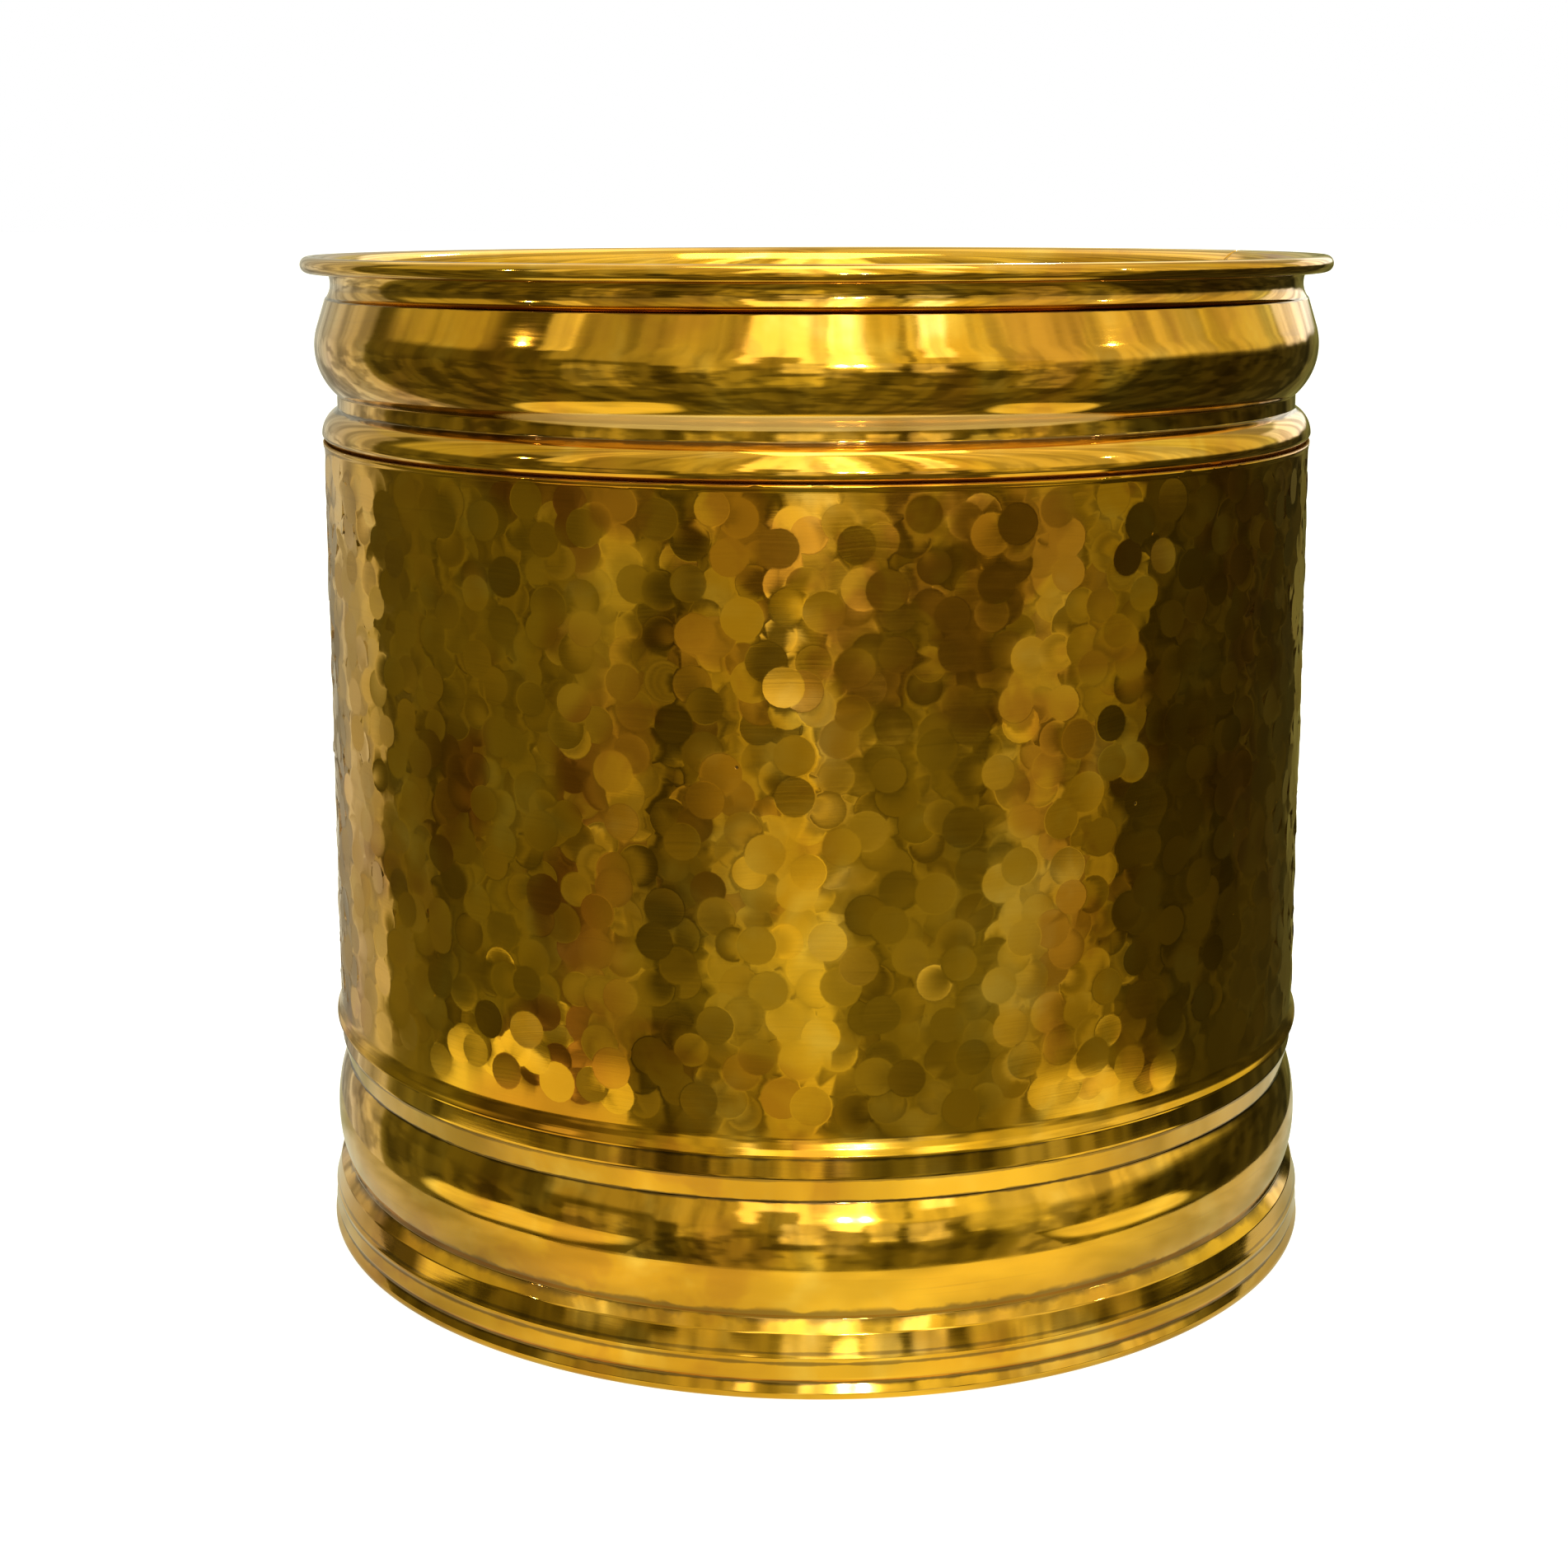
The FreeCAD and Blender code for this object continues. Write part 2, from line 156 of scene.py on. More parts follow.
def collar_line():
    """The collar's outer face, from the lower edge of its spigot up to the end of the rolled rim."""
    spigot_low, spigot_high = (SPIGOT, 224.8), (SPIGOT, 238.3)
    nose, nose_radius = (146.1, 240.8), 1.3
    bead_top, bead_radius = (143.4, 247.7), 8.5
    groove, groove_low = 142.7, 248.3
    bulge, bulge_radius = (129.9, 266.2), 19.0
    bulge_top = (145.5, 279.9)
    neck_low, neck = (145.1, 280.3), (143.9, 284.1)
    wire, roll_radius = (RIM, 289.7), 1.6

    shoulder = touching(nose, nose_radius, bead_radius, bead_top)
    nose_low = tangent_point(spigot_high, nose, nose_radius, 1)
    line = [spigot_low, spigot_high]
    line += arc(nose, nose_radius, bearing(nose, nose_low), bearing(shoulder, nose), math.radians(15))
    line += arc(shoulder, bead_radius, bearing(shoulder, nose), bearing(shoulder, bead_top))[1:]
    line += [(groove, groove_low)]

    groove_high = bulge[1] - math.sqrt(bulge_radius**2 - (groove - bulge[0]) ** 2)
    bulge_start = bearing(bulge, (groove, groove_high))
    bulge_end = bearing(bulge, tangent_point(bulge_top, bulge, bulge_radius, -1))
    line += arc(bulge, bulge_radius, bulge_start, bulge_end, math.radians(3))
    line += [bulge_top, neck_low]

    # the neck's hollow, then the cove that runs out to the rolled rim
    inward, rise = neck_low[0] - neck[0], neck[1] - neck_low[1]
    hollow = (inward**2 + rise**2) / (2 * inward)
    hollow_centre = (neck[0] + hollow, neck[1])
    line += arc(hollow_centre, hollow, bearing(hollow_centre, neck_low) % 360, 180)[1:]
    out, up = wire[0] - neck[0], wire[1] - neck[1]
    cove = (out**2 + up**2 - roll_radius**2) / (2 * (out - roll_radius))
    cove_centre = (neck[0] + cove, neck[1])
    meet = bearing(cove_centre, wire)
    line += arc(cove_centre, cove, 180, meet)[1:]
    line += arc(wire, roll_radius, meet, ROLL_END, math.radians(12))[1:]
    return line


def base_line():
    """The base band's outer face, from the end of the rolled hem up to the upper edge of its spigot."""
    hem, hem_radius, hem_start = (148.7, 1.55), 1.7, 152
    channel = (149.2, 4.6)
    foot_steps = [(150.0, 6.0), (149.5, 9.9), (149.9, 11.2), (149.4, 12.6), (148.3, 17.6)]
    waist, crease, torus_radius = (145.7, 20.6), (145.0, 52.2), 41.3
    ridge = [(146.7, 58.8), (146.7, 59.6)]
    spigot_low, spigot_high = (SPIGOT, 64.5), (SPIGOT, 78.5)

    hem_end = 360 + bearing(hem, tangent_point(channel, hem, hem_radius, -1))
    rolled = arc(hem, hem_radius, hem_start, hem_end, math.radians(12))
    line = [(r, max(z, 0.0)) for r, z in rolled]
    line += [channel, *foot_steps, waist]
    torus = round_about(waist, crease, torus_radius)
    line += arc(torus, torus_radius, bearing(torus, waist), bearing(torus, crease), math.radians(2.5))[1:]
    return line + ridge + [spigot_low, spigot_high]


# ---------------------------------------------------------------- meshes


def ripple(azimuth, height, wave, seed):
    """Smooth noise over the pot's surface, about -1 to 1, with no break anywhere round it."""
    radius = 148.0
    place = Vector((radius * math.cos(azimuth), radius * math.sin(azimuth), height)) / wave
    return noise.noise(place + Vector((seed, 0, 0)))


def piece(name, vertices, faces, slot, material, *nodes):
    """A smooth mesh that stands for the named CAD nodes."""
    mesh = bpy.data.meshes.new(name)
    mesh.from_pydata([tuple(v) for v in vertices], [], faces)
    mesh.update()
    mesh.shade_smooth()
    mesh.materials.append(material)
    shown = bpy.data.objects.new(name, mesh)
    bpy.context.scene.collection.objects.link(shown)
    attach(shown, "root")
    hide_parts(*nodes)
    return shown


def turned(name, section, azimuths, shift, slot, material, *nodes):
    """A closed section turned about the axis. shift gives how far each point moves, in millimetres."""
    vertices = []
    for azimuth in azimuths:
        c, s = math.cos(azimuth), math.sin(azimuth)
        for r, z in section:
            dr, dz = shift(azimuth, r, z)
            vertices.append(((r + dr) * c * MM, (r + dr) * s * MM, (z + dz) * MM))
    ring, count = len(section), len(azimuths)
    faces = []
    for i in range(count):
        here, there = i * ring, ((i + 1) % count) * ring
        faces += [(here + k, there + k, there + (k + 1) % ring, here + (k + 1) % ring) for k in range(ring)]
    return piece(name, vertices, faces, slot, material, *nodes)


def even_azimuths(count, beside_seam=()):
    """Azimuths round the circle, and some at these distances from the rim's seam, in millimetres."""
    even = {round(2 * math.pi * i / count, 6) for i in range(count)}
    return sorted(even | {round(SEAM_AZIMUTH + aside / RIM, 6) for aside in beside_seam})


def smooth_step(value, low, high):
    t = min(1.0, max(0.0, (value - low) / (high - low)))
    return t * t * (3 - 2 * t)


# ---------------------------------------------------------------- the planished drum

SEED = 1907
WALL = 146.8
PLANISH_LOW, PLANISH_HIGH = 79.5, 230.5
STRIKE_RADIUS = (4.7, 5.7)
STRIKE_TILT = math.radians(1.9)
STRIKE_DISH = (0.7, 1.25)  # across a strike, 1 is flat, less is rounded and more is hollow
STRIKE_HOLLOW = (-0.0006, 0.0019)  # up a strike, 0 is flat and more is hollow
STRIKE_DEPTH = (0.01, 0.07)
ROW_PITCH, STRIKE_PITCH = 6.0, 7.0
STRIKE_STRAY = 0.3  # how far a strike lies from its place in the row, in parts of the pitch
ROW_STRAY, END_ROW_STRAY = 2.0, 3.2  # and how far above or below the row
STRIKE_SIDES = 18
CREASE = 0.42  # how wide the turn between two strikes is
DRUM_STEPS = 300
INSIDE_STEP, END_STEP = 12.0, 6.0
STRIKE_MARGIN = 12  # how far past the planished band a strike can reach
CLOSE = 0.3  # a ring's own points keep this far from where another strike crosses it
END_GAP = 0.05  # how near the sheet's ends an edge may come
MERGE = 0.004  # points nearer than this become one
SLOPE_STEP = 0.5  # over how far the sheet's sway is compared, for its slope


class Strike:
    """One hammer mark on the unrolled wall: a nearly flat, slightly tilted disc."""

    def __init__(self, order, u, z, rng):
        self.order = order
        self.u, self.z = u, z
        self.radius = rng.uniform(*STRIKE_RADIUS)
        self.tilt_u = rng.gauss(0, STRIKE_TILT)
        self.tilt_z = rng.gauss(0, STRIKE_TILT)
        self.curve_u = rng.uniform(*STRIKE_DISH) / (2 * WALL)
        self.curve_z = rng.uniform(*STRIKE_HOLLOW)
        self.tone = rng.random()
        middle = (self.curve_u + self.curve_z) * self.radius**2 / 4
        self.depth = middle + rng.uniform(*STRIKE_DEPTH)

    def holds(self, u, z, spare=0.0):
        return math.hypot(u - self.u, z - self.z) < self.radius + spare

    def ring(self, outer):
        """The radius of the strike's edge, or of the ring just inside it."""
        return self.radius if outer else self.radius - CREASE

    def heading(self, point):
        return math.atan2(point[1] - self.z, point[0] - self.u)

    def height(self, u, z):
        du, dz = u - self.u, z - self.z
        bowl = self.curve_u * du * du + self.curve_z * dz * dz
        return bowl + self.tilt_u * du + self.tilt_z * dz - self.depth

    def slope(self, u, z):
        du, dz = u - self.u, z - self.z
        return (2 * self.curve_u * du + self.tilt_u, 2 * self.curve_z * dz + self.tilt_z)


class Grid:
    """The strikes by the square of the wall that they are on."""

    CELL = 12.0

    def __init__(self, strikes):
        self.cells = {}
        for strike in strikes:
            self.cells.setdefault(self.cell(strike.u, strike.z), []).append(strike)

    def cell(self, u, z):
        return (math.floor(u / self.CELL), math.floor(z / self.CELL))

    def near(self, u, z):
        i, j = self.cell(u, z)
        return [s for a in (-1, 0, 1) for b in (-1, 0, 1) for s in self.cells.get((i + a, j + b), ())]


def make_strikes(length, rng):
    """Strikes in uneven rows, that fell in no order."""
    places = []
    rows = round((PLANISH_HIGH - PLANISH_LOW) / ROW_PITCH)
    for row in range(rows + 1):
        z = PLANISH_LOW + (PLANISH_HIGH - PLANISH_LOW) * row / rows
        count = round(length / STRIKE_PITCH)
        for i in range(-1, count + 1):
            u = (i + 0.5 * (row % 2) + rng.uniform(-STRIKE_STRAY, STRIKE_STRAY)) * length / count
            stray = END_ROW_STRAY if row in (0, rows) else ROW_STRAY
            places.append((u, z + rng.uniform(-stray, stray)))
    rng.shuffle(places)
    return [Strike(order, u, z, rng) for order, (u, z) in enumerate(places)]


def strike_rings(strikes, grid):
    """The visible parts of each strike's edge and of the ring just inside it, as pairs of points."""
    rings = {}
    later = {}
    for strike in strikes:
        later[strike.order] = [s for s in grid.near(strike.u, strike.z) if s.order > strike.order]
        turn = strike.tone * math.pi
        for outer in (True, False):
            rings[strike.order, outer] = [
                (turn + 2 * math.pi * i / STRIKE_SIDES, None) for i in range(STRIKE_SIDES)
            ]
    for strike in strikes:
        middle = (strike.u, strike.z)
        for other in later[strike.order]:
            for outer in (True, False):
                for point in circles_meet(middle, strike.ring(outer), (other.u, other.z), other.radius):
                    above = [s for s in grid.near(*point) if s.order > strike.order and s is not other]
                    if any(s.holds(*point, -1e-6) for s in above):
                        continue
                    rings[strike.order, outer].append((strike.heading(point), point))
                    rings[other.order, True].append((other.heading(point), point))
    chains = []
    for strike in strikes:
        for outer in (True, False):
            radius = strike.ring(outer)
            ring = sorted((angle % (2 * math.pi), point) for angle, point in rings[strike.order, outer])
            points = []
            for angle, point in ring:
                place = point or (strike.u + radius * math.cos(angle), strike.z + radius * math.sin(angle))
                if point is None and any(math.dist(place, q) < CLOSE for _, q in ring if q):
                    continue
                points.append(place)
            for a, b in zip(points, points[1:] + points[:1]):
                middle = ((a[0] + b[0]) / 2, (a[1] + b[1]) / 2)
                if not any(s.holds(*middle) for s in later[strike.order]):
                    chains.append((a, b))
    return chains


def drum_section():
    """The drum's section as a closed line: up the outside, then down the inside."""
    lip, lip_low, lip_high = 148.1, 65.0, 65.6
    wall_low, wall_high = 70.5, 236.6
    turned_edge = [(147.2, 237.4), (147.2, 238.3)]
    inward, rise = lip - WALL, wall_low - lip_high
    flare = (inward**2 + rise**2) / (2 * inward)
    centre = (WALL + flare, wall_low)
    outside = [(lip, lip_low)] + arc(centre, flare, 360 + bearing(centre, (lip, lip_high)), 180)
    outside += [(WALL, wall_high), *turned_edge]
    inside = thicken(outside)
    return outside, inside


class Unrolled:
    """The drum's surface laid flat: u runs round it in millimetres and s along its section."""

    def __init__(self):
        outside, inside = drum_section()
        fine_inside = divide(soften(inside), INSIDE_STEP)[::-1]
        self.points = soften(outside) + fine_inside
        self.points.append(self.points[0])
        steps = [math.dist(a, b) for a, b in zip(self.points, self.points[1:])]
        self.along = [0.0]
        for step in steps:
            self.along.append(self.along[-1] + step)
        wall_foot = next(i for i, p in enumerate(self.points) if abs(p[0] - WALL) < 1e-6)
        self.offset = self.along[wall_foot] - self.points[wall_foot][1]
        self.length = 2 * math.pi * WALL - SEAM_WIDTH

    def place(self, s):
        """The point of the section at s, and the section's outward direction there."""
        i = min(max(bisect_right(self.along, s) - 1, 0), len(self.points) - 2)
        a, b = self.points[i], self.points[i + 1]
        span = self.along[i + 1] - self.along[i]
        t = (s - self.along[i]) / span if span > 1e-9 else 0.0
        point = (a[0] + (b[0] - a[0]) * t, a[1] + (b[1] - a[1]) * t)
        outward = ((b[1] - a[1]) / span, (a[0] - b[0]) / span)
        return point, outward


def drum_sway(azimuth, z):
    """How far the whole sheet stands out of round, in millimetres."""
    hold = smooth_step(z, 66, 82) * (1 - smooth_step(z, 222, 236))
    return hold * (0.24 * ripple(azimuth, z * 0.8, 60.0, 3.0) + 0.10 * ripple(azimuth, z, 24.0, 9.0))


def cut_flat(flat, chains):
    """The unrolled drum as triangles, cut along the chains, the bends and both ends of the sheet."""
    points, edges = [], []

    def add(a, b):
        points.extend((a, b))
        edges.append((len(points) - 2, len(points) - 1))

    for (au, az), (bu, bz) in chains:
        if min(au, bu) > END_GAP and max(au, bu) < flat.length - END_GAP:
            add((au, az + flat.offset), (bu, bz + flat.offset))
    us = [flat.length * i / DRUM_STEPS for i in range(DRUM_STEPS + 1)]
    for s in flat.along:
        for a, b in zip(us, us[1:]):
            add((a, s), (b, s))
    for u in (0.0, flat.length):
        for a, b in zip(flat.along, flat.along[1:]):
            parts = max(1, math.ceil((b - a) / END_STEP))
            for i in range(parts):
                add((u, a + (b - a) * i / parts), (u, a + (b - a) * (i + 1) / parts))
    result = delaunay_2d_cdt([Vector(p) for p in points], edges, [], 0, MERGE)
    return result[0], result[2]


def top_strike(grid, u, z):
    """The last strike that fell on this place, or none."""
    if not PLANISH_LOW - STRIKE_MARGIN < z < PLANISH_HIGH + STRIKE_MARGIN:
        return None
    return max((s for s in grid.near(u, z) if s.holds(u, z)), key=lambda s: s.order, default=None)


def struck(facets, u, z):
    """How high the sheet stands where these facets meet, and its slopes. A facet is a strike or none."""
    if not any(facets):
        return 0.0, 0.0, 0.0
    rise, slope_u, slope_z = 0.0, 0.0, 0.0
    for facet in facets:
        if facet:
            rise += facet.height(u, z)
            du, dz = facet.slope(u, z)
            slope_u += du
            slope_z += dz
    return tuple(value / len(facets) for value in (rise, slope_u, slope_z))


def make_drum(material):
    """The drum, with every hammer mark a facet that knows its own tone."""
    rng = random.Random(SEED)
    flat = Unrolled()
    strikes = make_strikes(flat.length, rng)
    grid = Grid(strikes)
    places, triangles = cut_flat(flat, strike_rings(strikes, grid))
    faces = [tuple(t) for t in triangles]

    facet_of = {}
    touched = [[] for _ in places]
    for face in faces:
        u = sum(places[k][0] for k in face) / 3
        z = sum(places[k][1] for k in face) / 3 - flat.offset
        facet_of[face] = top_strike(grid, u, z)
        for k in face:
            if facet_of[face] not in touched[k]:
                touched[k].append(facet_of[face])

    vertices, normals = [], []
    for facets, (u, s) in zip(touched, places):
        (r, z), (nr, nz) = flat.place(s)
        azimuth = SEAM_AZIMUTH + (SEAM_WIDTH / 2 + u) / WALL
        rise, slope_u, slope_z = struck(facets, u, s - flat.offset)
        sway = drum_sway(azimuth, z)
        sway_u = (drum_sway(azimuth + SLOPE_STEP / WALL, z) - sway) / SLOPE_STEP
        sway_z = (drum_sway(azimuth, z + SLOPE_STEP) - sway) / SLOPE_STEP
        side = 1 if s < flat.along[-1] / 2 else -1
        tu, tz = slope_u + side * sway_u, slope_z + side * sway_z
        c, sn = math.cos(azimuth), math.sin(azimuth)
        out = r + sway + rise * nr
        vertices.append((out * c * MM, out * sn * MM, (z + rise * nz) * MM))
        normals.append(Vector((nr * c + tu * sn, nr * sn - tu * c, nz - tz)).normalized())
    drum = piece("drum_wall", vertices, faces, "hammered_brass", material, "hammered_drum")
    tones = drum.data.attributes.new("strike_tone", "FLOAT", "FACE")
    tones.data.foreach_set("value", [facet_of[f].tone if facet_of[f] else 0.5 for f in faces])
    drum.data.normals_split_custom_set_from_vertices([tuple(n) for n in normals])


# ---------------------------------------------------------------- materials


class Nodes:
    """Short ways to add and link shader nodes."""

    def __init__(self, tree):
        self.tree = tree
        tree.nodes.clear()

    def add(self, kind, inputs=None, **settings):
        node = self.tree.nodes.new(kind)
        for key, value in settings.items():
            setattr(node, key, value)
        for key, value in (inputs or {}).items():
            self.put(node.inputs[key], value)
        return node

    def put(self, socket, value):
        if isinstance(value, bpy.types.NodeSocket):
            self.tree.links.new(value, socket)
        else:
            socket.default_value = value

    def math(self, operation, *values, clamp=False):
        node = self.add("ShaderNodeMath", operation=operation, use_clamp=clamp)
        for i, value in enumerate(values):
            self.put(node.inputs[i], value)
        return node.outputs[0]

    def noise(self, vector, scale, detail=2.0, roughness=0.5, distortion=0.0):
        inputs = {"Vector": vector, "Scale": scale, "Detail": detail, "Roughness": roughness}
        return self.add("ShaderNodeTexNoise", {**inputs, "Distortion": distortion}).outputs["Fac"]

    def span(self, value, low, high, to_low=0.0, to_high=1.0):
        inputs = {"Value": value, "From Min": low, "From Max": high, "To Min": to_low, "To Max": to_high}
        return self.add("ShaderNodeMapRange", inputs, interpolation_type="SMOOTHSTEP").outputs[0]

    def mix(self, factor, a, b, blend="MIX"):
        node = self.add("ShaderNodeMix", data_type="RGBA", blend_type=blend)
        self.put(node.inputs[0], factor)
        self.put(node.inputs[6], a)
        self.put(node.inputs[7], b)
        return node.outputs[2]

    def reach(self, value, middle, half, power):
        """How far value is from middle, over half, to a power."""
        scaled = self.math("MULTIPLY_ADD", value, 1 / half, -middle / half)
        return self.math("POWER", self.math("ABSOLUTE", scaled), power)

    def from_axis(self, x, y):
        return self.math("SQRT", self.math("ADD", self.math("MULTIPLY", x, x), self.math("MULTIPLY", y, y)))

    def ramp(self, value, stops):
        node = self.add("ShaderNodeValToRGB", {"Fac": value})
        node.color_ramp.interpolation = "LINEAR"
        elements = node.color_ramp.elements
        while len(elements) < len(stops):
            elements.new(1.0)
        for element, (place, colour) in zip(elements, stops):
            element.position = place
            element.color = colour
        return node.outputs["Color"]


def grey(value):
    return (value, value, value, 1.0)


BRASS = (0.86, 0.480, 0.042, 1.0)
PALE_BRASS = (0.93, 0.62, 0.15, 1.0)
DEEP_BRASS = (0.70, 0.350, 0.024, 1.0)
RED_TARNISH = (0.38, 0.10, 0.018, 1.0)
# dark tarnish, and also the painted shade along each groove's crease
DARK_TARNISH_AND_SHADE = (0.12, 0.065, 0.020, 1.0)
# the pale colour of a painted highlight, in the groove under the bulge
PAINTED_HIGHLIGHT_PALE = (0.62, 0.42, 0.14, 1.0)
UNPOLISHED = (0.60, 0.48, 0.27, 1.0)
OXIDISED = (0.36, 0.28, 0.16, 1.0)
LACQUER = 0.4  # how much of a clear coat the smooth bands have

# Places on the brass, in metres.
NECK = 0.283  # the inside is unpolished below this height
STAIN = -0.078  # the middle of the stained strip of the wall, across the pot
STAIN_CORE, STAIN_EDGE = 0.012, 0.036  # how far from there it is full, and where it ends
HIGHLIGHT_BAND_HEIGHT, HIGHLIGHT_BAND_HALF_HEIGHT = 0.2531, 0.0021  # a painted highlight: a pale, less metallic band in the groove under the bulge, standing for its bright reflection in front
HIGHLIGHT_BAND_MIDDLE, HIGHLIGHT_BAND_HALF_WIDTH = -0.003, 0.080

SHADED_GROOVES = (  # height, half its width and how dark: painted shade along the crease of each groove
    (0.2836, 0.0009, 0.35),
    (0.2801, 0.0004, 0.80),
    (0.2480, 0.0006, 0.90),
    (0.0644, 0.0008, 0.85),
    (0.0586, 0.0005, 0.60),
    (0.0522, 0.0005, 0.90),
    (0.0215, 0.0017, 0.70),
    (0.0126, 0.0004, 0.55),
    (0.0099, 0.0005, 0.70),
    (0.0046, 0.0006, 0.85),
)


def stained_strikes(n, tone, x, y, clouds):
    """Which hammer marks are reddish: some all round, and most of those in the stained strip in front."""
    strip = n.span(n.math("ABSOLUTE", n.math("SUBTRACT", x, STAIN)), STAIN_EDGE, STAIN_CORE)
    strip = n.math("MULTIPLY", strip, n.span(y, -0.06, -0.10))
    chosen = n.math("MULTIPLY", n.span(tone, 0.35, 0.6), n.span(clouds, 0.60, 0.48))
    some = n.math("MULTIPLY", n.span(tone, 0.70, 0.80), n.span(clouds, 0.52, 0.42, 0.0, 0.5))
    return n.math("MAXIMUM", some, n.math("MULTIPLY", strip, chosen))


def unpolished(n, x, y, z):
    """Where the metal faces the axis below the neck."""
    facing = n.add("ShaderNodeNewGeometry").outputs["Normal"]
    away = n.add("ShaderNodeCombineXYZ", {"X": x, "Y": y, "Z": 0.0}).outputs[0]
    outward = n.add("ShaderNodeVectorMath", {0: facing, 1: away}, operation="DOT_PRODUCT").outputs["Value"]
    return n.math("MULTIPLY", n.span(outward, 0.0, -0.02), n.span(z, NECK, NECK - 0.004))


def painted_highlight_band(n, x, y, z, clouds):
    """Where the painted highlight lies: a pale, less metallic band in front, tapered to both ends."""
    up = n.reach(z, HIGHLIGHT_BAND_HEIGHT, HIGHLIGHT_BAND_HALF_HEIGHT, 2.0)
    aside = n.reach(x, HIGHLIGHT_BAND_MIDDLE, HIGHLIGHT_BAND_HALF_WIDTH, 4.0)
    highlight_band = n.math("MULTIPLY", n.span(n.math("ADD", up, aside), 1.1, 0.7), n.span(y, 0.0, -0.05))
    return n.math("MULTIPLY", highlight_band, n.span(clouds, 0.25, 0.5, 0.50, 0.80))


def brass(name, shine, lines, patina, red, dulled=0.0, strikes=False, painted_light_and_lacquer=False):
    """Brass with patina, polishing lines that run round the pot, fine scratches and a few pits.

    shine is the mean roughness, lines how strongly the polishing lines show, patina and red how much of
    the surface is dulled and how much of that is reddish. dulled is how dull all of it is at least."""
    material = bpy.data.materials.new(name)
    material.use_nodes = True
    n = Nodes(material.node_tree)
    place = n.add("ShaderNodeTexCoord").outputs["Object"]
    parts = n.add("ShaderNodeSeparateXYZ", {"Vector": place})
    x, y, z = (parts.outputs[k] for k in range(3))
    across = n.math("ADD", z, n.math("MULTIPLY", n.from_axis(x, y), 1.7))
    stretched = n.add(
        "ShaderNodeCombineXYZ",
        {"X": n.math("MULTIPLY", x, 0.02), "Y": n.math("MULTIPLY", y, 0.02), "Z": across},
    ).outputs[0]
    fine_lines = n.noise(stretched, 2600.0, 2.0, 0.6)
    broad_lines = n.noise(stretched, 620.0, 3.0, 0.55)
    clouds = n.noise(place, 13.0, 3.0, 0.55, 0.6)
    blotches = n.noise(place, 46.0, 3.0, 0.55, 0.3)
    grain = n.noise(place, 900.0, 2.0, 0.6)

    colour = n.mix(n.span(clouds, 0.35, 0.68), DEEP_BRASS, BRASS)
    colour = n.mix(n.span(blotches, 0.50, 0.78, 0.0, 0.55), colour, PALE_BRASS)
    reddish = n.math("MULTIPLY", n.span(blotches, 0.50, 0.38), n.span(clouds, 0.52, 0.42), clamp=True)
    if strikes:
        tone = n.add("ShaderNodeAttribute", attribute_name="strike_tone").outputs["Fac"]
        stained = stained_strikes(n, tone, x, y, clouds)
        reddish = n.math("MAXIMUM", n.math("MULTIPLY", reddish, 0.6), stained)
        colour = n.mix(n.span(tone, 0.5, 0.0, 0.0, 0.45), colour, DEEP_BRASS)
    colour = n.mix(n.math("MULTIPLY", reddish, red), colour, RED_TARNISH)
    colour = n.mix(n.span(broad_lines, 0.60, 0.85, 0.0, patina), colour, DARK_TARNISH_AND_SHADE)
    pits = n.add("ShaderNodeTexVoronoi", {"Vector": place, "Scale": 48.0, "Randomness": 1.0}, feature="F1")
    speck = n.span(pits.outputs["Distance"], 0.030, 0.016)
    chance = n.add("ShaderNodeSeparateColor", {"Color": pits.outputs["Color"]}).outputs[0]
    pit = n.math("MULTIPLY", speck, n.span(chance, 0.90, 0.92))
    colour = n.mix(pit, colour, DARK_TARNISH_AND_SHADE)
    inside = n.math("MAXIMUM", unpolished(n, x, y, z), dulled)
    dull = n.mix(n.span(blotches, 0.35, 0.70), UNPOLISHED, OXIDISED)
    colour = n.mix(n.math("MULTIPLY", inside, 0.92), colour, dull)
    metallic = n.math("SUBTRACT", 1.0, n.math("MULTIPLY", inside, 0.30))
    if painted_light_and_lacquer:
        # painted shade: dark lines along the crease of each groove, and below it a painted highlight band
        uneven = n.span(n.noise(place, 95.0, 3.0, 0.6), 0.30, 0.62, 0.55, 1.25)
        for height, half, strength in SHADED_GROOVES:
            away = n.math("DIVIDE", n.math("ABSOLUTE", n.math("SUBTRACT", z, height)), uneven)
            colour = n.mix(n.span(away, half * 1.4, half * 0.5, 0.0, strength), colour, DARK_TARNISH_AND_SHADE)
        # a painted highlight: a pale, less metallic band under the bulge, in front only
        highlight_band = painted_highlight_band(n, x, y, z, clouds)
        colour = n.mix(highlight_band, colour, PAINTED_HIGHLIGHT_PALE)
        metallic = n.math("SUBTRACT", metallic, n.math("MULTIPLY", highlight_band, 0.75), clamp=True)

    rough = n.span(clouds, 0.3, 0.7, shine * 0.75, shine * 1.35)
    rough = n.math("ADD", rough, n.math("MULTIPLY", n.span(blotches, 0.45, 0.25), patina * 0.25))
    rough = n.math("ADD", rough, n.math("MULTIPLY", n.span(fine_lines, 0.35, 0.75), lines * 0.05))
    if strikes:
        rough = n.math("ADD", rough, n.math("MULTIPLY", tone, 0.05))
    rough = n.math("ADD", rough, n.math("MULTIPLY", inside, 0.30))
    rough = n.math("ADD", rough, n.math("MULTIPLY", pit, 0.4), clamp=True)

